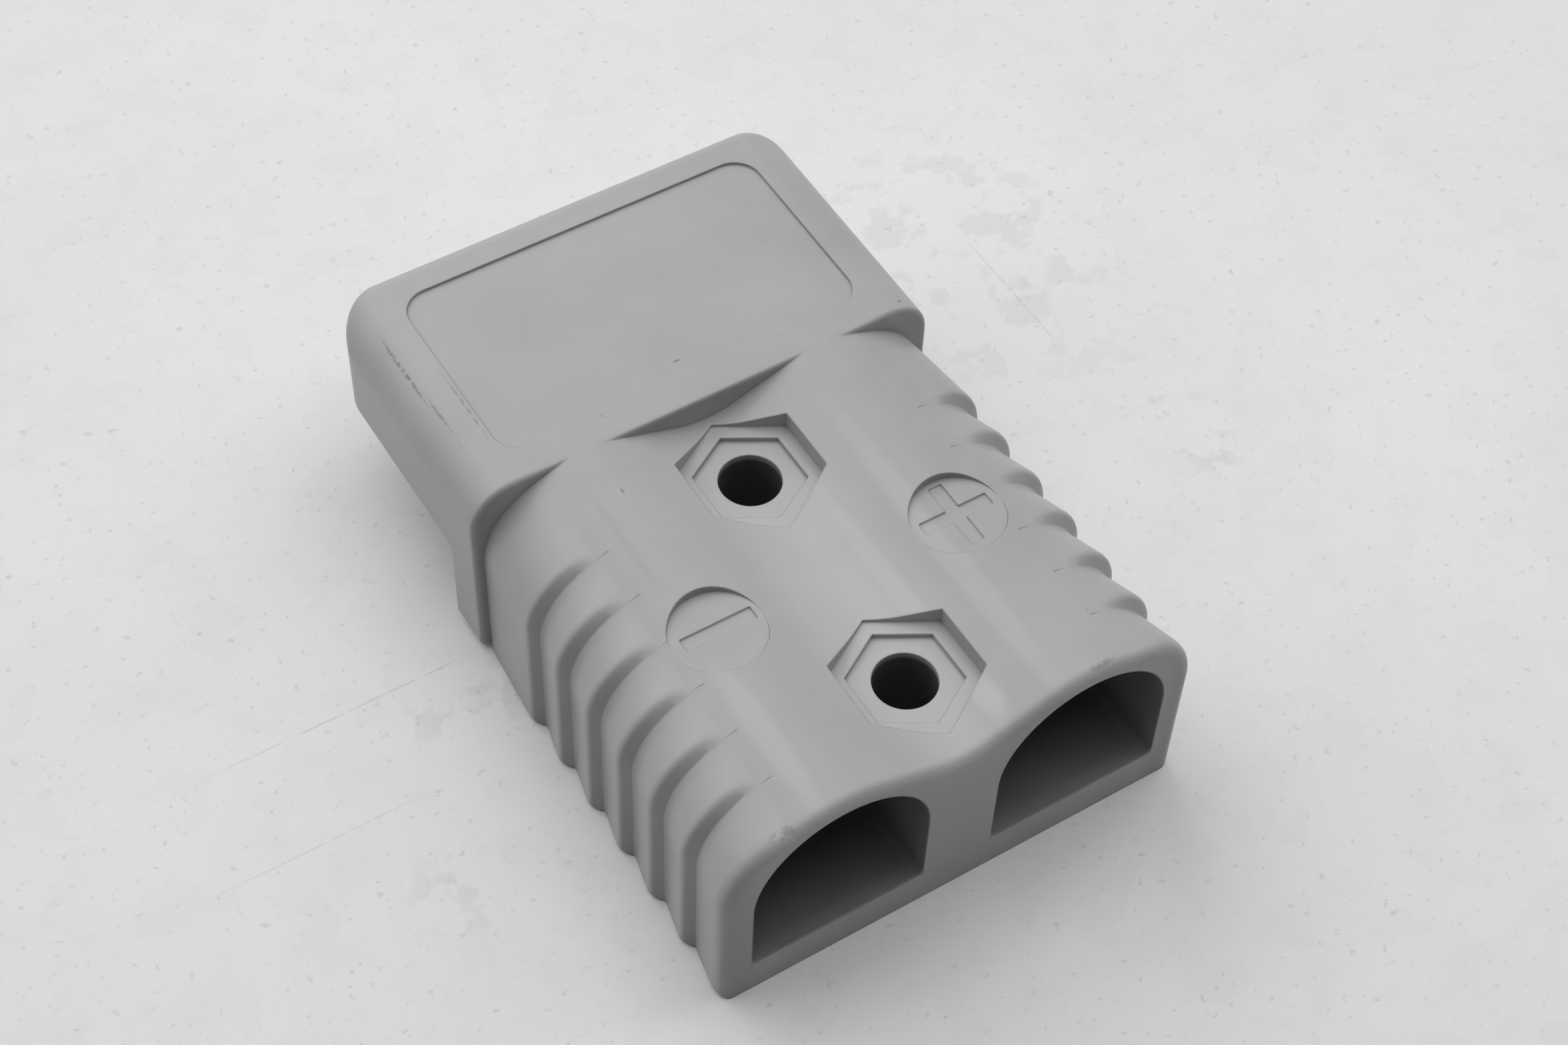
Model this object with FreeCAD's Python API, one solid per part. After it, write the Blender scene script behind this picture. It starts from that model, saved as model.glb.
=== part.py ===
import FreeCAD, Part
import math
import os

os.makedirs("parts", exist_ok=True)

# A two-pole genderless battery connector. X runs across the two poles, Y from the
# cable end to the mating end, Z up from the flat underside. The sketches measure Y
# from the cable end, and the finished pieces are moved so that the origin is the
# middle of the underside. All sizes are millimetres.

# Housing, outside.
length = 79.5            # cable end to the tip of the nose
height = 25.4            # underside to the top of the hood and the lobes
hood_width = 54.4        # widest part, across the hood
step_y = 48.2            # rear face of the hood, where it steps down to the grip
shoulder_y = 53.4        # face that the other half's nose meets
nose_z = 12.6            # underside of the nose, just below mid height
hood_radius = 5.2        # top edges of the hood
hood_foot_radius = 2.0   # bottom edges of the shoulder
nose_corner = 5.2        # corners of the nose seen from above
nose_edge = 1.6          # rounding of the front top edge
step_edge = 0.6          # rounding of the top edge of the step

# Grip: two lobes side by side with a valley between them.
lobe_x = 13.8            # middle of a lobe, of its chamber and of its contact
lobe_radius = 13.5       # top of the lobe
lobe_slope = 20.0        # slope of the lobe towards the valley, in degrees
side_turn = 45.0         # where the tighter arc down to the side begins, in degrees
side_x = 25.9            # straight side of the grip
valley_radius = 10.0
rear_edge = 1.4          # rounding of the outline of the rear face

# Finger ribs down each side of the grip.
rib_count = 6
rib_pitch = 6.03
first_rib_y = 36.75      # foot of the rib nearest the hood
rib_radius = 8.2         # outline of a crest, seen from the rear
rib_proud = 1.05         # how far a crest stands out of the side
rib_drop = 1.2           # how far a crest stays below the top of the lobe
crest_radius = 0.9       # a crest along Y
crest_strips = 3         # straight strips that a crest is made of
rib_turn = 95.0          # end of a rib's outline, inside the lobe, in degrees
rib_root = 0.1           # how far a rib's two ends run down into the skin
drop_slope = 50.0        # steep side of a rib, towards the rear, in degrees
ramp_slope = 14.5        # gentle side of a rib
first_ramp_slope = 5.0   # the ramp behind the hood is a longer one
flare_slope = 12.0       # the last ramp, which ends in a level rim
flare_y = 1.8            # width of that rim
foot_chamfer = 0.8       # bottom of the ribs

# Mounting holes, each with a recess for two sizes of nut.
hole_diameter = 6.6
rear_hole_y = 11.1
hole_spacing = 28.5
small_nut_flats = 10.2
large_nut_flats = 13.2
ledge_drop = 0.3         # ledge of the large recess, below the valley floor
small_nut_depth = 0.55   # small recess, below the ledge

# Shallow label field on the hood, and a round field on each lobe.
label_rear_y = 51.6
label_width = 42.2
label_length = 23.9
label_corner = 3.1
label_depth = 0.3
pole_field_y = 23.0
pole_field_diameter = 9.7
pole_field_depth = 0.5

# Cable chambers, open at the rear, and the trays under the nose.
entry_radius = 9.8
entry_floor_z = 4.6
chamber_axis_z = 14.1
entry_depth = 12.0
chamber_radius = 8.9
chamber_floor_z = 6.7
chamber_depth = 45.0
chamber_corner = 1.0
window_reach = 3.0       # how far the blade's window runs back into the chamber
tray_half_width = 9.6
tray_roof = 2.6          # thickness of the hood over the trays
nose_wall = 3.0          # front wall of the nose
tray_corner = 1.5

# Contacts and leaf springs.
barrel_diameter = 14.2
bore_diameter = 11.2
bore_depth = 21.0
barrel_rear_y = 16.0
barrel_length = 23.0
taper_length = 5.0       # barrel down to the blade
blade_width = 14.2
blade_thickness = 3.2
blade_proud = 0.2        # blade below the underside of the nose
hook_height = 6.0        # underside of the blade to the top of the hook
hook_lip = 2.4           # lip of the hook over the end of the spring
peep_diameter = 3.0
spring_width = 11.0
spring_thickness = 0.9
spring_flat = 6.0        # rear end, flat against the roof of the tray
spring_rest = 9.0        # front end, flat on the back of the blade
spring_slope = 24.0      # slope between the two ends, in degrees
spring_bend = 4.0        # inner radius of its two bends

# Clearances.
window_gap = 0.3         # round the blade and the spring where they leave the chamber
spring_gap = 0.5         # behind the rear end of the spring
hook_gap = 0.5           # between the hook and the front wall
lip_gap = 0.3            # between the lip and the spring
overrun = 1.0            # how far a cutter runs past the faces it opens


def vec(x, y, z):
    return FreeCAD.Vector(x, y, z)


def at_angle(y, centre_x, centre_z, radius, degrees):
    """A point of a circle that lies across the connector, counted from +X towards +Z."""
    turn = math.radians(degrees)
    return vec(centre_x + radius * math.cos(turn), y, centre_z + radius * math.sin(turn))


def cross_arc(y, centre_x, centre_z, radius, start, end):
    points = [at_angle(y, centre_x, centre_z, radius, a) for a in (start, (start + end) / 2, end)]
    return Part.Arc(*points).toShape()


def line(start, end):
    return Part.LineSegment(start, end).toShape()


def joined(edges):
    """One wire from edges given in order, with straight lines closing the gaps."""
    chain = []
    for number, edge in enumerate(edges):
        chain.append(edge)
        here = edge.lastVertex(True).Point
        there = edges[(number + 1) % len(edges)].firstVertex(True).Point
        if here.distanceToPoint(there) > 1e-7:
            chain.append(line(here, there))
    return Part.Wire(chain)


def prism(wire, along):
    return Part.Face(wire).extrude(along)


def box(x0, x1, y0, y1, z0, z1):
    return Part.makeBox(x1 - x0, y1 - y0, z1 - z0, vec(x0, y0, z0))


def mirrored(shape):
    return shape.mirror(vec(0, 0, 0), vec(1, 0, 0))


def both_sides(shape):
    return [shape, mirrored(shape)]


# Heights and places that follow from the sizes above.
lobe_z = height - lobe_radius
side_share = math.cos(math.radians(side_turn))
side_radius = (side_x - lobe_x - lobe_radius * side_share) / (1 - side_share)
bend_x = side_x - side_radius
bend_z = lobe_z + (lobe_radius - side_radius) * math.sin(math.radians(side_turn))
roof_z = height - tray_roof
blade_z = nose_z - blade_proud
barrel_z = blade_z + blade_thickness / 2
tray_front_y = length - nose_wall
spring_turn = math.radians(spring_slope)
spring_outer = spring_bend + spring_thickness
spring_front_y = (tray_front_y - hook_gap
                  - (hook_height - blade_thickness - spring_thickness - lip_gap))
spring_low_y = spring_front_y - spring_rest
spring_drop = (roof_z - spring_thickness - blade_z - blade_thickness
               - (spring_bend + spring_outer) * (1 - math.cos(spring_turn)))
spring_high_y = (spring_low_y - spring_drop / math.tan(spring_turn)
                 - (spring_bend + spring_outer) * math.sin(spring_turn))
spring_rear_y = spring_high_y - spring_flat
front_hole_y = rear_hole_y + hole_spacing
slope_x = lobe_x - lobe_radius * math.sin(math.radians(lobe_slope))
slope_z = lobe_z + lobe_radius * math.cos(math.radians(lobe_slope))
valley_z = (slope_z - slope_x * math.tan(math.radians(lobe_slope))
            + valley_radius * (1 / math.cos(math.radians(lobe_slope)) - 1))


def grip_outline(y):
    """Straight sides, two lobes of two arcs each, and the valley; it runs on past the underside."""
    over = 90 + lobe_slope
    return joined([
        cross_arc(y, bend_x, bend_z, side_radius, 0, side_turn),
        cross_arc(y, lobe_x, lobe_z, lobe_radius, side_turn, over),
        cross_arc(y, 0, valley_z + valley_radius, valley_radius,
                  lobe_slope - 90, -90 - lobe_slope),
        cross_arc(y, -lobe_x, lobe_z, lobe_radius, 180 - over, 180 - side_turn),
        cross_arc(y, -bend_x, bend_z, side_radius, 180 - side_turn, 180),
        line(vec(-side_x, y, bend_z), vec(-side_x, y, -overrun)),
        line(vec(-side_x, y, -overrun), vec(side_x, y, -overrun)),
    ])


def hood_outline(y):
    """The hood seen from the end, with round top edges and a smaller bottom edge."""
    half = hood_width / 2
    top = hood_radius
    foot = hood_foot_radius
    return joined([
        cross_arc(y, half - foot, foot, foot, -90, 0),
        cross_arc(y, half - top, height - top, top, 0, 90),
        cross_arc(y, top - half, height - top, top, 90, 180),
        cross_arc(y, foot - half, foot, foot, 180, 270),
    ])


def ridge_outline(y, share):
    """One side of the grip with a rib, cut across: at share 0 the rib lies in the grip's
    skin, and at share 1 it is a full crest."""
    crest_x = side_x + rib_proud - rib_radius
    crest_z = height - rib_drop - rib_radius
    points = []
    for turn in (0, side_turn / 2, side_turn, (side_turn + rib_turn) / 2, rib_turn):
        crest = at_angle(y, crest_x, crest_z, rib_radius, turn)
        if turn > side_turn:
            lobe_turn = math.degrees(math.acos((crest.x - lobe_x) / lobe_radius))
            skin = at_angle(y, lobe_x, lobe_z, lobe_radius, lobe_turn)
        else:
            skin = at_angle(y, bend_x, bend_z, side_radius, turn)
        points.append(skin + (crest - skin) * share)
    return joined([
        line(vec(points[0].x, y, 0), points[0]),
        Part.Arc(*points[:3]).toShape(),
        Part.Arc(*points[2:]).toShape(),
        line(points[-1], vec(lobe_x, y, chamber_axis_z)),
        line(vec(lobe_x, y, chamber_axis_z), vec(lobe_x, y, 0)),
    ])


def ridge(stations):
    """A loft through stations, each a place along Y and a distance below the crest."""
    outlines = [ridge_outline(y, 1 - low / rib_proud) for y, low in stations]
    return Part.makeLoft(outlines, True, True)


def rib(crest_y, slope):
    """One rib: a steep drop to the rear, a round crest and a ramp that runs into the skin."""
    depth = rib_proud + rib_root
    stations = []
    for number in range(crest_strips + 1):
        degrees = number * (slope + drop_slope) / crest_strips - drop_slope
        turn = math.radians(degrees)
        stations.append((crest_y + crest_radius * math.sin(turn),
                         crest_radius * (1 - math.cos(turn))))
    rear_y, rear_low = stations[0]
    front_y, front_low = stations[-1]
    rear_run = (depth - rear_low) / math.tan(math.radians(drop_slope))
    front_run = (depth - front_low) / math.tan(math.radians(slope))
    front_run = min(front_run, step_y + overrun - front_y)
    front_low += front_run * math.tan(math.radians(slope))
    return ridge([(rear_y - rear_run, depth)] + stations + [(front_y + front_run, front_low)])


def flare():
    """The ridge round the cable end: a level rim, then a ramp that runs into the skin."""
    depth = rib_proud + rib_root
    return ridge([(0, 0), (flare_y, 0),
                  (flare_y + depth / math.tan(math.radians(flare_slope)), depth)])


def is_rear_outline(edge):
    on_face = all(abs(v.Point.y) < 1e-6 for v in edge.Vertexes)
    return on_face and edge.CenterOfMass.z > 0


def grip():
    body = prism(grip_outline(0), vec(0, step_y + overrun, 0))
    body = body.fuse(both_sides(flare())).removeSplitter()
    body = body.makeFillet(rear_edge, [e for e in body.Edges if is_rear_outline(e)])
    body = body.cut(box(-hood_width, hood_width, -overrun, length, -2 * overrun, 0))
    turn = math.radians(drop_slope)
    straight = rib_proud - crest_radius * (1 - math.cos(turn))
    ahead = crest_radius * math.sin(turn) + straight / math.tan(turn)
    ribs = []
    for number in range(rib_count):
        slope = ramp_slope if number else first_ramp_slope
        ribs += both_sides(rib(first_rib_y + ahead - number * rib_pitch, slope))
    body = body.fuse(ribs)
    outer_x = side_x + rib_proud
    corner = Part.makePolygon([vec(outer_x - foot_chamfer, -overrun, 0), vec(outer_x, -overrun, 0),
                               vec(outer_x, -overrun, foot_chamfer),
                               vec(outer_x - foot_chamfer, -overrun, 0)])
    trim = prism(corner, vec(0, step_y, 0))
    return body.cut(both_sides(trim))


def is_upright(edge):
    ends = [v.Point for v in edge.Vertexes]
    return len(ends) == 2 and ends[0].distanceToPoint(vec(ends[1].x, ends[1].y, ends[0].z)) < 1e-6


def is_step_edge(edge):
    """The top of the step and its two round corners."""
    ends = edge.BoundBox
    return ends.YMax < step_y + 1e-6 and ends.ZMin > height - hood_radius - 1e-6


def is_front_top_edge(edge):
    extent = edge.BoundBox
    return extent.YMax > length - nose_corner / 2 and extent.ZMax > height - 1e-3


def hood():
    """A block with round top edges, rounded front corners and a small front edge."""
    half = hood_width / 2
    block = prism(hood_outline(step_y), vec(0, length - step_y, 0))
    plan = box(-half, half, 0, length, -overrun, height + overrun)
    front = [e for e in plan.Edges if is_upright(e) and e.CenterOfMass.y > step_y]
    block = block.common(plan.makeFillet(nose_corner, front))
    block = block.makeFillet(step_edge, [e for e in block.Edges if is_step_edge(e)])
    under_nose = box(-hood_width, hood_width, shoulder_y, length + overrun, -overrun, nose_z)
    block = block.cut(under_nose)
    return block.makeFillet(nose_edge, [e for e in block.Edges if is_front_top_edge(e)])


def chamber_outline(y, radius, floor_z):
    """The D of a cable chamber: flat floor, short walls and a round roof."""
    corner = chamber_corner
    return joined([
        cross_arc(y, lobe_x + radius - corner, floor_z + corner, corner, -90, 0),
        cross_arc(y, lobe_x, chamber_axis_z, radius, 0, 180),
        cross_arc(y, lobe_x - radius + corner, floor_z + corner, corner, 180, 270),
    ])


def chamber():
    """Everything that is hollow on one side: entry, contact chamber, windows and tray."""
    entry = prism(chamber_outline(-overrun, entry_radius, entry_floor_z),
                  vec(0, entry_depth + overrun, 0))
    room = prism(chamber_outline(entry_depth - overrun, chamber_radius, chamber_floor_z),
                 vec(0, chamber_depth - entry_depth + overrun, 0))
    reach = blade_width / 2 + window_gap
    window = box(lobe_x - reach, lobe_x + reach, chamber_depth - window_reach,
                 shoulder_y + overrun, blade_z - window_gap, blade_z + hook_height + window_gap)
    reach = spring_width / 2 + window_gap
    slot = box(lobe_x - reach, lobe_x + reach, spring_rear_y - spring_gap,
               shoulder_y + overrun, blade_z, roof_z)
    tray = box(lobe_x - tray_half_width, lobe_x + tray_half_width, shoulder_y, tray_front_y,
               nose_z - overrun, roof_z)
    tray = tray.makeFillet(tray_corner, [e for e in tray.Edges if is_upright(e)])
    return entry.fuse([room, window, slot, tray])


def nut_recess(flats, floor_z, y):
    """A six-sided cutter with one corner towards the front."""
    reach = flats / math.sqrt(3)
    turns = [math.radians(90 + 60 * k) for k in range(7)]
    corners = [vec(reach * math.cos(t), y + reach * math.sin(t), floor_z) for t in turns]
    return prism(Part.makePolygon(corners), vec(0, 0, height))


def mounting_holes():
    cutters = []
    ledge_z = valley_z - ledge_drop
    for y in (rear_hole_y, front_hole_y):
        cutters.append(Part.makeCylinder(hole_diameter / 2, height + 2 * overrun,
                                         vec(0, y, -overrun)))
        cutters.append(nut_recess(large_nut_flats, ledge_z, y))
        cutters.append(nut_recess(small_nut_flats, ledge_z - small_nut_depth, y))
    return cutters


def label_field():
    field = box(-label_width / 2, label_width / 2, label_rear_y, label_rear_y + label_length,
                height - label_depth, height + overrun)
    return field.makeFillet(label_corner, [e for e in field.Edges if is_upright(e)])


def pole_field():
    """A round sunk field whose floor follows the lobe."""
    disc = Part.makeCylinder(pole_field_diameter / 2, lobe_radius + overrun,
                             vec(lobe_x, pole_field_y, lobe_z))
    floor = Part.makeCylinder(lobe_radius - pole_field_depth, length, vec(lobe_x, 0, lobe_z),
                              vec(0, 1, 0))
    return disc.cut(floor)


def housing():
    body = grip().fuse(hood())
    cutters = [label_field()] + mounting_holes()
    cutters += both_sides(chamber()) + both_sides(pole_field())
    return body.cut(cutters)


def side_prism(edges, width):
    """A side view, drawn at the middle of one pole, given its width across."""
    wire = joined(edges)
    wire.translate(vec(lobe_x - width / 2, 0, 0))
    return prism(wire, vec(width, 0, 0))


def side_arc(centre_y, centre_z, radius, start, end):
    points = []
    for degrees in (start, (start + end) / 2, end):
        turn = math.radians(degrees)
        points.append(vec(0, centre_y + radius * math.cos(turn), centre_z + radius * math.sin(turn)))
    return Part.Arc(*points).toShape()


def side_line(*points):
    return [line(vec(0, *start), vec(0, *end)) for start, end in zip(points, points[1:])]


def contact():
    """Crimp barrel, taper and flat blade, with the tip turned up into a hook."""
    half_barrel = barrel_diameter / 2
    barrel_end = barrel_rear_y + barrel_length
    blade_top = blade_z + blade_thickness
    tip_y = tray_front_y - hook_gap
    bend = blade_thickness
    hook_top = blade_z + hook_height
    lip_z = blade_top + spring_thickness + lip_gap
    tip_back = tip_y - (hook_top - lip_z)
    outline = side_line((barrel_rear_y, barrel_z - half_barrel), (barrel_end, barrel_z - half_barrel),
                        (barrel_end + taper_length, blade_z), (tip_y - bend, blade_z))
    outline.append(side_arc(tip_y - bend, blade_z + bend, bend, -90, 0))
    outline += side_line((tip_y, blade_z + bend), (tip_y, hook_top), (tip_back - hook_lip, hook_top),
                         (tip_back - hook_lip, lip_z), (tip_back, lip_z), (tip_back, blade_top),
                         (barrel_end + taper_length, blade_top),
                         (barrel_end, barrel_z + half_barrel), (barrel_rear_y, barrel_z + half_barrel))
    bar = side_prism(outline, blade_width)
    round_end = Part.makeCylinder(half_barrel, barrel_length + taper_length,
                                  vec(lobe_x, barrel_rear_y, barrel_z), vec(0, 1, 0))
    flat_end = box(lobe_x - blade_width / 2, lobe_x + blade_width / 2,
                   barrel_end + taper_length, length, 0, height)
    body = bar.common(round_end.fuse(flat_end))
    bore = Part.makeCylinder(bore_diameter / 2, bore_depth,
                             vec(lobe_x, barrel_rear_y, barrel_z), vec(0, 1, 0))
    peep = Part.makeCylinder(peep_diameter / 2, half_barrel,
                             vec(lobe_x, barrel_rear_y + bore_depth - peep_diameter, barrel_z))
    return body.cut([bore, peep]).removeSplitter()


def leaf_spring():
    """A strip that lies flat under the roof, slopes down and ends on the blade."""
    blade_top = blade_z + blade_thickness
    outer = spring_outer
    high_axis = roof_z - outer
    low_axis = blade_top + outer
    upper = side_arc(spring_high_y, high_axis, outer, 90, 90 - spring_slope)
    inner_low = side_arc(spring_low_y, low_axis, spring_bend, 270 - spring_slope, 270)
    outer_low = side_arc(spring_low_y, low_axis, outer, 270, 270 - spring_slope)
    inner_high = side_arc(spring_high_y, high_axis, spring_bend, 90 - spring_slope, 90)
    rear_end = side_line((spring_rear_y, roof_z - spring_thickness), (spring_rear_y, roof_z))
    front_end = side_line((spring_front_y, blade_top + spring_thickness),
                          (spring_front_y, blade_top))
    return side_prism([upper, inner_low] + front_end + [outer_low, inner_high] + rear_end,
                      spring_width)


def write(name, shape):
    placed = shape.copy()
    placed.translate(vec(0, -length / 2, 0))
    placed.exportStep("parts/" + name + ".step")
    print(name, "valid", placed.isValid(), "solids", len(placed.Solids),
          "volume", round(placed.Volume, 1))


write("housing", housing())
write("contact_plus", contact())
write("contact_minus", mirrored(contact()))
write("leaf_spring_plus", leaf_spring())
write("leaf_spring_minus", mirrored(leaf_spring()))
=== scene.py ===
import math

import bpy
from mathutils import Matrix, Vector


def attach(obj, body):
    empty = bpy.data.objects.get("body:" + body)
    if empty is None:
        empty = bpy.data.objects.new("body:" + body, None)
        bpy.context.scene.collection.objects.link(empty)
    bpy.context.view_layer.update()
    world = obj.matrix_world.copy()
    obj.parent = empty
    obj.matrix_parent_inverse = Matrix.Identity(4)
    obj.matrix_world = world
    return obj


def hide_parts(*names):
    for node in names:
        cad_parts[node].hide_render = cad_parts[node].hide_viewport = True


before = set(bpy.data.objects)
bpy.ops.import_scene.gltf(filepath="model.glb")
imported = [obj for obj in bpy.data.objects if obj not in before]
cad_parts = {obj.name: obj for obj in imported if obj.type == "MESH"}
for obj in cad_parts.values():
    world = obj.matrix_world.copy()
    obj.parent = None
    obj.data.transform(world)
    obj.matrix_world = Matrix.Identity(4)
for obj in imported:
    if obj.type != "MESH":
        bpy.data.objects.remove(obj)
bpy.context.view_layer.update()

sheet = bpy.context.scene.collection


# Housing

# One injection moulding in glass-filled polycarbonate, mid grey with a satin
# skin. The mould sinks the two polarity signs in flat round fields over the
# contact chambers, so field and signs are cut here with flat-ended tools.

def pick_only(piece):
    """Makes the piece the active one, and the only one selected."""
    bpy.ops.object.select_all(action="DESELECT")
    piece.select_set(True)
    bpy.context.view_layer.objects.active = piece


def merged_copy(name, node):
    """A new object with the node's mesh, its loose triangles joined up."""
    made = bpy.data.objects.new(name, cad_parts[node].data.copy())
    sheet.objects.link(made)
    pick_only(made)
    bpy.ops.mesh.customdata_custom_splitnormals_clear()
    bpy.ops.object.mode_set(mode="EDIT")
    bpy.ops.mesh.select_all(action="SELECT")
    bpy.ops.mesh.remove_doubles(threshold=1e-6)
    bpy.ops.object.mode_set(mode="OBJECT")
    made.data.materials.clear()
    return made


def settle(piece):
    """Puts the object's place into its mesh."""
    pick_only(piece)
    bpy.ops.object.transform_apply(location=True, rotation=True, scale=True)


def cut(piece, tool, operation="DIFFERENCE"):
    """Applies a boolean with the tool, and removes the tool."""
    pick_only(piece)
    hold = piece.modifiers.new("cut", "BOOLEAN")
    hold.operation = operation
    hold.solver = "EXACT"
    hold.object = tool
    bpy.ops.object.modifier_apply(modifier="cut")
    bpy.data.objects.remove(tool)


sharp_turn = math.radians(32)


def finish_surface(piece):
    """Smooth shading that keeps the sharp edges."""
    pick_only(piece)
    bpy.ops.object.shade_smooth_by_angle(angle=sharp_turn)
    even = piece.modifiers.new("even", "WEIGHTED_NORMAL")
    even.keep_sharp = True
    even.weight = 50
    bpy.ops.object.modifier_apply(modifier="even")


moulding = merged_copy("housing_moulding", "housing")

# Each round field is a pad that levels the lobe's curve, cut to a flat floor.
lobe_x = 0.0138
field_y = -0.01675
field_radius = 0.00495
field_floor = 0.02445
pad_radius = 0.0049
pad_foot = 0.0232
pad_top = 0.0246
cutter_top = 0.0265

# The signs are straight bars, sunk in the floor of the fields.
plus_x = 0.01385
minus_x = -0.0135
sign_y = -0.01635
sign_length = 0.0079
sign_width = 0.00155
sign_depth = 0.00022
bar_half = 0.0006
bar_rounding = 0.00012


def drum(x, radius, low, high):
    """An upright round tool between two heights."""
    bpy.ops.object.select_all(action="DESELECT")
    bpy.ops.mesh.primitive_cylinder_add(
        vertices=128, radius=radius, depth=high - low, location=(x, field_y, (low + high) / 2))
    made = bpy.context.object
    settle(made)
    return made


def sign_bar(x, length, width):
    """A bar with small round edges that reaches below the floor of the field."""
    bpy.ops.object.select_all(action="DESELECT")
    bpy.ops.mesh.primitive_cube_add(
        size=1, location=(x, sign_y, field_floor + bar_half),
        scale=(length, width, 2 * (bar_half + sign_depth)))
    bar = bpy.context.object
    settle(bar)
    bpy.ops.object.mode_set(mode="EDIT")
    bpy.ops.mesh.select_all(action="SELECT")
    bpy.ops.mesh.bevel(offset=bar_rounding, segments=2, affect="EDGES")
    bpy.ops.object.mode_set(mode="OBJECT")
    return bar


for x in (lobe_x, -lobe_x):
    cut(moulding, drum(x, pad_radius, pad_foot, pad_top), "UNION")
    cut(moulding, drum(x, field_radius, field_floor, cutter_top))
cut(moulding, sign_bar(plus_x, sign_length, sign_width))
cut(moulding, sign_bar(plus_x, sign_width, sign_length))
cut(moulding, sign_bar(minus_x, sign_length, sign_width))

finish_surface(moulding)
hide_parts("housing")
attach(moulding, "root")


def wire(tree, start, end):
    tree.links.new(start, end)


def make_node(tree, kind, place, **settings):
    """A node at its place on the sheet, with its settings and socket values."""
    made = tree.nodes.new(kind)
    made.location = place
    for key, value in settings.items():
        if hasattr(made, key):
            setattr(made, key, value)
        else:
            made.inputs[key.replace("_", " ")].default_value = value
    return made


def work_out(tree, operation, first, second, place):
    """A sum on two values, each of them a number or another node's socket."""
    made = make_node(tree, "ShaderNodeMath", place, operation=operation)
    for socket, value in zip(made.inputs, (first, second)):
        if isinstance(value, (int, float)):
            socket.default_value = value
        else:
            wire(tree, value, socket)
    return made.outputs["Value"]


def soft_step(tree, value, place, **ends):
    """The value taken smoothly from one pair of ends to the other."""
    made = make_node(tree, "ShaderNodeMapRange", place, interpolation_type="SMOOTHSTEP", **ends)
    wire(tree, value, made.inputs["Value"])
    return made.outputs["Result"]


def open_group(name, takes, gives):
    """A new node group with its named sockets and its two end nodes."""
    made = bpy.data.node_groups.new(name, "ShaderNodeTree")
    for label in takes:
        kind = "NodeSocketVector" if label in ("Place", "Centre", "Reach") else "NodeSocketFloat"
        made.interface.new_socket(name=label, in_out="INPUT", socket_type=kind)
    for label in gives:
        made.interface.new_socket(name=label, in_out="OUTPUT", socket_type="NodeSocketFloat")
    return made, make_node(made, "NodeGroupInput", (-1000, 0)), make_node(made, "NodeGroupOutput", (500, 0))


# Handling marks: cloudy smudges and a fine skin grain, at each finish's own scales.
handling, taken, given = open_group(
    "handling_marks", ("Place", "Cloud Scale", "Grain Scale"), ("Cloud", "Grain"))
cloud = make_node(handling, "ShaderNodeTexNoise", (-600, 200), Detail=3.0, Roughness=0.62)
wire(handling, taken.outputs["Place"], cloud.inputs["Vector"])
wire(handling, taken.outputs["Cloud Scale"], cloud.inputs["Scale"])
spread = make_node(handling, "ShaderNodeMapRange", (-300, 200), From_Min=0.3, From_Max=0.7)
wire(handling, cloud.outputs["Fac"], spread.inputs["Value"])
wire(handling, spread.outputs["Result"], given.inputs["Cloud"])
grain = make_node(handling, "ShaderNodeTexNoise", (-600, -200), Detail=2.0, Roughness=0.5)
wire(handling, taken.outputs["Place"], grain.inputs["Vector"])
wire(handling, taken.outputs["Grain Scale"], grain.inputs["Scale"])
wire(handling, grain.outputs["Fac"], given.inputs["Grain"])

# An oval with a soft rim, used for patches of wear, of painted shade and of painted highlight.
patch, taken, given = open_group("soft_oval_patch", ("Place", "Centre", "Reach", "Strength"), ("Mask",))
offset = make_node(patch, "ShaderNodeVectorMath", (-750, 150), operation="SUBTRACT")
wire(patch, taken.outputs["Place"], offset.inputs[0])
wire(patch, taken.outputs["Centre"], offset.inputs[1])
share = make_node(patch, "ShaderNodeVectorMath", (-550, 150), operation="DIVIDE")
wire(patch, offset.outputs["Vector"], share.inputs[0])
wire(patch, taken.outputs["Reach"], share.inputs[1])
away = make_node(patch, "ShaderNodeVectorMath", (-350, 150), operation="LENGTH")
wire(patch, share.outputs["Vector"], away.inputs[0])
inside = make_node(patch, "ShaderNodeMapRange", (-100, 150), interpolation_type="SMOOTHSTEP",
                   From_Min=1.0, From_Max=0.4)
wire(patch, away.outputs["Value"], inside.inputs["Value"])
wire(patch, taken.outputs["Strength"], inside.inputs["To Max"])
wire(patch, inside.outputs["Result"], given.inputs["Mask"])

# A mask that is broken up: it stays where a noise lies above a level.
breaks, taken, given = open_group("broken_mask", ("Place", "Whole", "Scale", "Level"), ("Mask",))
noise = make_node(breaks, "ShaderNodeTexNoise", (-750, 0), Detail=3.0, Roughness=0.65)
wire(breaks, taken.outputs["Place"], noise.inputs["Vector"])
wire(breaks, taken.outputs["Scale"], noise.inputs["Scale"])
above = work_out(breaks, "SUBTRACT", noise.outputs["Fac"], taken.outputs["Level"], (-500, 0))
kept = make_node(breaks, "ShaderNodeMapRange", (-250, 0), interpolation_type="SMOOTHSTEP",
                 From_Min=-0.05, From_Max=0.05)
wire(breaks, above, kept.inputs["Value"])
wire(breaks, taken.outputs["Whole"], kept.inputs["To Max"])
wire(breaks, kept.outputs["Result"], given.inputs["Mask"])


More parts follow.
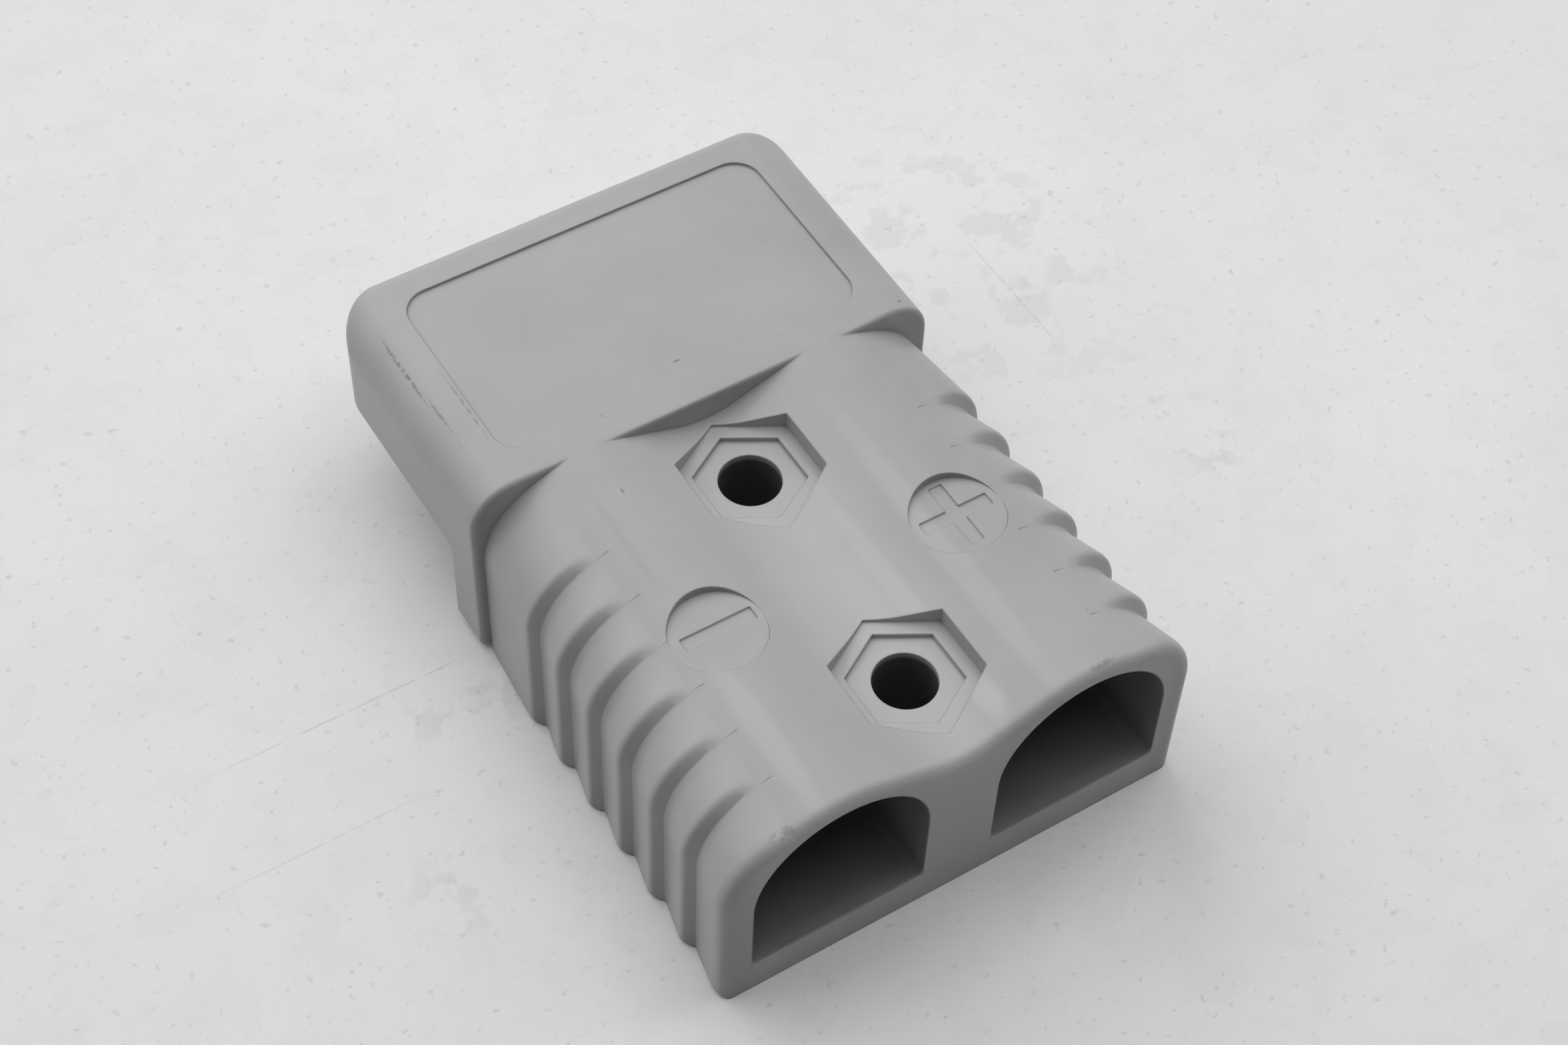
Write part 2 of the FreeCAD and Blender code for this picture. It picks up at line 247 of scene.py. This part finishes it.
def open_material(name, cloud_scale, grain_scale):
    """A new material, its shader, the object's own coordinates, and its handling marks."""
    made = bpy.data.materials.new(name)
    made.use_nodes = True
    tree = made.node_tree
    place = make_node(tree, "ShaderNodeTexCoord", (-1600, 0)).outputs["Object"]
    marks = make_node(tree, "ShaderNodeGroup", (-1300, 0), node_tree=handling,
                      Cloud_Scale=cloud_scale, Grain_Scale=grain_scale)
    wire(tree, place, marks.inputs["Place"])
    return made, tree, tree.nodes["Principled BSDF"], place, marks


def two_tone(tree, marks, dark, light):
    """An even run between two colours, led by the cloudy marks."""
    tone = make_node(tree, "ShaderNodeValToRGB", (-1000, 200))
    tone.color_ramp.elements[0].color = (*dark, 1)
    tone.color_ramp.elements[1].color = (*light, 1)
    wire(tree, marks.outputs["Cloud"], tone.inputs["Fac"])
    return tone.outputs["Color"]


def set_gloss(tree, shader, lead, first, last):
    """Roughness between two values, led by a mark."""
    gloss = make_node(tree, "ShaderNodeMapRange", (-1000, -100), To_Min=first, To_Max=last)
    wire(tree, lead, gloss.inputs["Value"])
    wire(tree, gloss.outputs["Result"], shader.inputs["Roughness"])


def set_skin(tree, shader, marks, strength, depth):
    """The finish's fine relief, from the grain."""
    skin = make_node(tree, "ShaderNodeBump", (0, -300), Strength=strength, Distance=depth)
    wire(tree, marks.outputs["Grain"], skin.inputs["Height"])
    wire(tree, skin.outputs["Normal"], shader.inputs["Normal"])
    return skin


def spots(tree, place, *patches):
    """Several soft oval patches (wear, painted shade, painted highlight) as one mask: each has centre and
    reach in mm, and a strength.
    """
    mask = None
    for row, (centre, reach, strength) in enumerate(patches):
        height = 900 - 230 * row
        one = make_node(tree, "ShaderNodeGroup", (-2400, height), node_tree=patch, Strength=strength,
                        Centre=[v / 1000 for v in centre], Reach=[v / 1000 for v in reach])
        wire(tree, place, one.inputs["Place"])
        found = one.outputs["Mask"]
        mask = found if mask is None else work_out(tree, "MAXIMUM", mask, found, (-2200, height))
    return mask


def broken_up(tree, place, mask, scale, level):
    """The mask, left only in specks of about the scale."""
    made = make_node(tree, "ShaderNodeGroup", (-1900, 900), node_tree=breaks, Scale=scale, Level=level)
    wire(tree, place, made.inputs["Place"])
    wire(tree, mask, made.inputs["Whole"])
    return made.outputs["Mask"]


def blend(tree, mask, lower, colour, place):
    """Lays one even colour over another by a mask."""
    made = make_node(tree, "ShaderNodeMix", place, data_type="RGBA")
    wire(tree, mask, made.inputs["Factor"])
    wire(tree, lower, made.inputs["A"])
    made.inputs["B"].default_value = (*colour, 1)
    return made.outputs["Result"]


plastic, tree, shader, place, marks = open_material(
    "grey_polycarbonate", cloud_scale=70, grain_scale=4200)
grey = two_tone(tree, marks, (0.340, 0.340, 0.338), (0.386, 0.386, 0.386))

# Dark scuffs on the hood's left edge and the rear rim, and small specks.
dark_scuffs = broken_up(tree, place, spots(
    tree, place,
    ((-24.6, 27.5, 24.75), (0.26, 6.5, 0.7), 0.60),
    ((-24.2, 19.5, 24.85), (0.20, 5.5, 0.6), 0.50),
    ((-21.6, 20.0, 25.3), (0.22, 7.0, 0.6), 0.35),
    ((15.2, -38.8, 25.1), (2.2, 0.4, 0.6), 0.40),
    ((-7.5, -14.0, 22.6), (0.35, 0.35, 0.8), 0.5),
    ((-19.9, -38.6, 23.9), (2.2, 0.7, 1.2), 0.45),
    ((25.6, -39.2, 12.0), (0.7, 0.5, 7.0), 0.6),
    ((-10.4, 11.5, 25.4), (0.28, 0.28, 0.5), 0.9),
    ((24.2, 9.7, 24.9), (0.30, 0.30, 0.6), 0.8),
    ((-13.4, 2.4, 25.4), (0.22, 0.8, 0.5), 0.8),
    ((-0.1, 14.3, 25.1), (0.55, 0.14, 0.6), 0.8)), scale=1300, level=0.48)
colour = blend(tree, dark_scuffs, grey, (0.085, 0.072, 0.062), (-700, 300))

# A faint darker line along the left lobe, and painted shade that darkens the rear face.
dark_line_and_rear_shade = spots(
    tree, place,
    ((-16.3, -2.5, 25.1), (0.6, 9.0, 1.5), 0.07),
    ((0.0, -40.0, 12.0), (70.0, 1.7, 40.0), 0.10))
colour = blend(tree, dark_line_and_rear_shade, colour, (0.085, 0.078, 0.070), (-600, 300))

# A small pale spot low on the left side, and painted highlights (the front lamp's sheen) on the valley, its
# slopes and a stripe on each lobe.
pale_spot_and_painted_sheen = spots(
    tree, place,
    ((-25.6, 5.3, 5.2), (0.35, 0.6, 0.6), 0.6),
    ((0.0, -15.0, 21.9), (10.0, 34.0, 5.0), 0.30),
    ((10.3, -20.0, 25.0), (1.9, 27.0, 1.8), 0.22),
    ((4.4, -20.0, 22.8), (1.9, 24.0, 1.4), 0.40),
    ((4.9, -35.2, 23.0), (2.0, 3.6, 1.6), 0.44),
    ((-16.2, -29.0, 25.1), (1.8, 13.0, 1.8), 0.24))
colour = blend(tree, pale_spot_and_painted_sheen, colour, (0.56, 0.56, 0.55), (-500, 300))

# Dust that settles in the narrow steps and corners, with painted shade: whatever the occlusion finds hemmed
# in is darkened.
crevice = make_node(tree, "ShaderNodeAmbientOcclusion", (-1000, 700), samples=4, Distance=0.0007)
crevice_dust_and_shade = soft_step(tree, crevice.outputs["AO"], (-800, 700), From_Min=0.75, From_Max=0.35, To_Max=0.55)
colour = blend(tree, crevice_dust_and_shade, colour, (0.13, 0.112, 0.10), (-300, 300))

# Painted shade inside the two cable chambers, a little lighter at the mouth.
chamber_radius = 0.0099
chamber_axis_height = 0.0141
chamber_floor = 0.00455
chamber_end_y = 0.0054
mouth_y = -0.0397
inner_y = -0.0375
axes = make_node(tree, "ShaderNodeSeparateXYZ", (-1400, -700))
wire(tree, place, axes.inputs["Vector"])
across = work_out(tree, "ABSOLUTE", axes.outputs["X"], 0, (-1200, -600))
arch = make_node(tree, "ShaderNodeCombineXYZ", (-800, -700))
wire(tree, work_out(tree, "SUBTRACT", across, lobe_x, (-1000, -600)), arch.inputs["X"])
over_axis = work_out(tree, "SUBTRACT", axes.outputs["Z"], chamber_axis_height, (-1200, -800))
wire(tree, work_out(tree, "MAXIMUM", over_axis, 0, (-1000, -800)), arch.inputs["Z"])
from_axis = make_node(tree, "ShaderNodeVectorMath", (-600, -700), operation="LENGTH")
wire(tree, arch.outputs["Vector"], from_axis.inputs[0])
within = work_out(tree, "LESS_THAN", from_axis.outputs["Value"], chamber_radius, (-400, -700))
over_floor = work_out(tree, "GREATER_THAN", axes.outputs["Z"], chamber_floor, (-400, -850))
before_end = work_out(tree, "LESS_THAN", axes.outputs["Y"], chamber_end_y, (-400, -1100))
in_arch = work_out(tree, "MULTIPLY", within, over_floor, (-250, -750))
in_chamber = work_out(tree, "MULTIPLY", in_arch, before_end, (-150, -850))
deep = soft_step(tree, axes.outputs["Y"], (-400, -1000),
                 From_Min=mouth_y, From_Max=inner_y, To_Min=0.42, To_Max=0.58)
chamber_painted_shade = work_out(tree, "MULTIPLY", in_chamber, deep, (0, -850))

# The two bolt holes get painted shade too, from the floor of the nut recess to near the foot.
recess_floor = 0.02065
shade_top = 0.0200
shade_foot = 0.003
foot_rim = 0.0002
bolt_holes = spots(
    tree, place,
    ((0, -28.65, 9.5), (7.0, 7.0, 90.0), 0.88),
    ((0, -0.15, 9.5), (7.0, 7.0, 90.0), 0.88))
under_recess = soft_step(tree, axes.outputs["Z"], (-400, -1200), From_Min=recess_floor, From_Max=shade_top)
off_foot = soft_step(tree, axes.outputs["Z"], (-400, -1450), From_Min=foot_rim, From_Max=shade_foot)
in_hole = work_out(tree, "MULTIPLY", under_recess, off_foot, (-200, -1300))
hole_painted_shade = work_out(tree, "MULTIPLY", bolt_holes, in_hole, (0, -1100))
inner_painted_shade = work_out(tree, "MAXIMUM", chamber_painted_shade, hole_painted_shade, (200, -850))
# Chambers and bolt holes are laid over with near-black painted shade.
colour = blend(tree, inner_painted_shade, colour, (0.03, 0.029, 0.028), (-100, 300))

# Painted shade on the steep rear-facing sides of the finger ribs, where they turn down the sides.
rib_in = 0.0215
rib_out = 0.026
facing = make_node(tree, "ShaderNodeNewGeometry", (-1400, -1200))
turned = make_node(tree, "ShaderNodeSeparateXYZ", (-1200, -1200))
wire(tree, facing.outputs["Normal"], turned.inputs["Vector"])
to_rear = soft_step(tree, turned.outputs["Y"], (-1000, -1200), From_Min=-0.25, From_Max=-0.7, To_Max=0.42)
on_side = soft_step(tree, across, (-1000, -1450), From_Min=rib_in, From_Max=rib_out)
rib_painted_shade = work_out(tree, "MULTIPLY", to_rear, on_side, (-350, -1400))
colour = blend(tree, rib_painted_shade, colour, (0.17, 0.155, 0.145), (100, 300))
wire(tree, colour, shader.inputs["Base Color"])
set_gloss(tree, shader, marks.outputs["Cloud"], first=0.34, last=0.44)

# Moulded edges are softer than cut ones.
soft_edge = make_node(tree, "ShaderNodeBevel", (-200, -400), samples=6, Radius=0.0003)
skin = set_skin(tree, shader, marks, strength=0.25, depth=0.00003)
wire(tree, soft_edge.outputs["Normal"], skin.inputs["Normal"])
shader.inputs["IOR"].default_value = 1.5
moulding.data.materials.append(plastic)


# Contacts

# Two turned and milled copper contacts, silver plated: a crimp barrel for
# the cable, a taper, and a flat blade whose end hooks over the spring.

plating, tree, shader, place, marks = open_material(
    "silver_plating", cloud_scale=140, grain_scale=2600)
silver = two_tone(tree, marks, (0.60, 0.57, 0.52), (0.80, 0.79, 0.77))
wire(tree, silver, shader.inputs["Base Color"])
set_gloss(tree, shader, marks.outputs["Cloud"], first=0.38, last=0.26)
set_skin(tree, shader, marks, strength=0.2, depth=0.00002)
shader.inputs["Metallic"].default_value = 1.0

for pole in ("plus", "minus"):
    contact = merged_copy("plated_contact_" + pole, "contact_" + pole)
    finish_surface(contact)
    contact.data.materials.append(plating)
    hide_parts("contact_" + pole)
    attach(contact, "root")


# Springs

# Two leaf springs of hard stainless strip, blanked and bent, which lie under
# the roofs of the trays and press the blades down on each other when mated.

strip, tree, shader, place, marks = open_material(
    "spring_strip", cloud_scale=500, grain_scale=9000)
along = make_node(tree, "ShaderNodeMapping", (-1450, 0), Scale=(1.0, 0.04, 1.0))
wire(tree, place, along.inputs["Vector"])
wire(tree, along.outputs["Vector"], marks.inputs["Place"])
steel = two_tone(tree, marks, (0.46, 0.46, 0.47), (0.60, 0.60, 0.61))
wire(tree, steel, shader.inputs["Base Color"])
set_gloss(tree, shader, marks.outputs["Grain"], first=0.34, last=0.24)
set_skin(tree, shader, marks, strength=0.25, depth=0.00001)
shader.inputs["Metallic"].default_value = 1.0

for pole in ("plus", "minus"):
    leaf = merged_copy("strip_spring_" + pole, "leaf_spring_" + pole)
    finish_surface(leaf)
    leaf.data.materials.append(strip)
    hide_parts("leaf_spring_" + pole)
    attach(leaf, "root")


# Table

# A plain pale board of laminate with a dull skin, wide enough to fill every
# view. It has a few smudges, fine specks and light scratches round the part.

board_size = 6
board_drop = 0.00002
bpy.ops.object.select_all(action="DESELECT")
bpy.ops.mesh.primitive_grid_add(
    x_subdivisions=4, y_subdivisions=4, size=board_size, location=(0, 0, -board_drop))
board = bpy.context.object
board.name = "table_board"
settle(board)

laminate, tree, shader, place, marks = open_material(
    "pale_board", cloud_scale=18, grain_scale=900)
pale = two_tone(tree, marks, (0.775, 0.770, 0.768), (0.825, 0.824, 0.824))
smudges = broken_up(tree, place, spots(
    tree, place,
    ((0, 0, 0), (260, 260, 50), 0.05),
    ((-31, 3.5, 0), (10, 7, 50), 0.22),
    ((-42, -16, 0), (8, 7, 50), 0.20),
    ((56, -3, 0), (5, 15, 50), 0.26),
    ((48, 30, 0), (24, 30, 50), 0.18)), scale=170, level=0.55)
colour = blend(tree, smudges, pale, (0.50, 0.46, 0.44), (-700, 300))
specks = broken_up(tree, place, spots(
    tree, place,
    ((0, 0, 0), (260, 260, 50), 0.30)), scale=800, level=0.66)
colour = blend(tree, specks, colour, (0.42, 0.38, 0.36), (-500, 300))
scratches = broken_up(tree, place, spots(
    tree, place,
    ((-42, 9, 0), (22, 0.16, 50), 0.30),
    ((-52, -4, 0), (16, 0.14, 50), 0.24),
    ((50, 22, 0), (0.2, 14, 50), 0.26)), scale=500, level=0.46)
colour = blend(tree, scratches, colour, (0.42, 0.38, 0.36), (-300, 300))
wire(tree, colour, shader.inputs["Base Color"])
shader.inputs["Specular IOR Level"].default_value = 0.0
shader.inputs["Roughness"].default_value = 0.6
board.data.materials.append(laminate)


# Lamps

# Four wide softboxes: overhead, past the mating end, and a weaker one on each
# side. The room is dark, and pale where the camera or a gloss looks past the board.

def softbox(name, place, size, watts):
    """A square lamp that looks at the part."""
    lamp = bpy.data.lights.new(name, "AREA")
    lamp.shape = "SQUARE"
    lamp.size = size
    lamp.energy = watts
    hung = bpy.data.objects.new(name, lamp)
    sheet.objects.link(hung)
    hung.location = place
    hung.rotation_euler = (-Vector(place)).to_track_quat("-Z", "Y").to_euler()


softbox("overhead_softbox", (0, 0, 0.9), size=0.9, watts=4.6)
softbox("front_softbox", (0, 0.8, 0.6), size=0.8, watts=3.6)
softbox("left_softbox", (-0.6, 0.5, 0.6), size=0.8, watts=2.3)
softbox("right_softbox", (0.7, 0, 0.6), size=0.8, watts=2.5)

room = bpy.data.worlds.new("room")
bpy.context.scene.world = room
room.use_nodes = True
tree = room.node_tree
dim = tree.nodes["Background"]
dim.inputs["Color"].default_value = (1, 1, 1, 1)
dim.inputs["Strength"].default_value = 0.02
pale = make_node(tree, "ShaderNodeBackground", (0, -200), Color=(0.8, 0.8, 0.8, 1), Strength=1.0)
rays = make_node(tree, "ShaderNodeLightPath", (-600, 200))
seen = work_out(tree, "ADD", rays.outputs["Is Camera Ray"], rays.outputs["Is Glossy Ray"], (-300, 250))
seen = work_out(tree, "ADD", seen, rays.outputs["Is Transmission Ray"], (-100, 250))
choice = make_node(tree, "ShaderNodeMixShader", (300, 0))
wire(tree, seen, choice.inputs["Fac"])
wire(tree, dim.outputs["Background"], choice.inputs[1])
wire(tree, pale.outputs["Background"], choice.inputs[2])
wire(tree, choice.outputs["Shader"], tree.nodes["World Output"].inputs["Surface"])
bpy.context.scene.view_settings.view_transform = "Standard"


# Camera

# Held above the cable end, to the left, looking down on the upper face.

lens = bpy.data.cameras.new("viewpoint")
lens.lens = 65.926
lens.sensor_width = 36
lens.sensor_fit = "HORIZONTAL"
lens.clip_start = 0.01
lens.clip_end = 20
viewpoint = bpy.data.objects.new("viewpoint", lens)
sheet.objects.link(viewpoint)
viewpoint.location = (-0.09755, -0.15174, 0.24777)
viewpoint.rotation_euler = [math.radians(a) for a in (37.6438, -1.6142, -31.8151)]
bpy.context.scene.camera = viewpoint
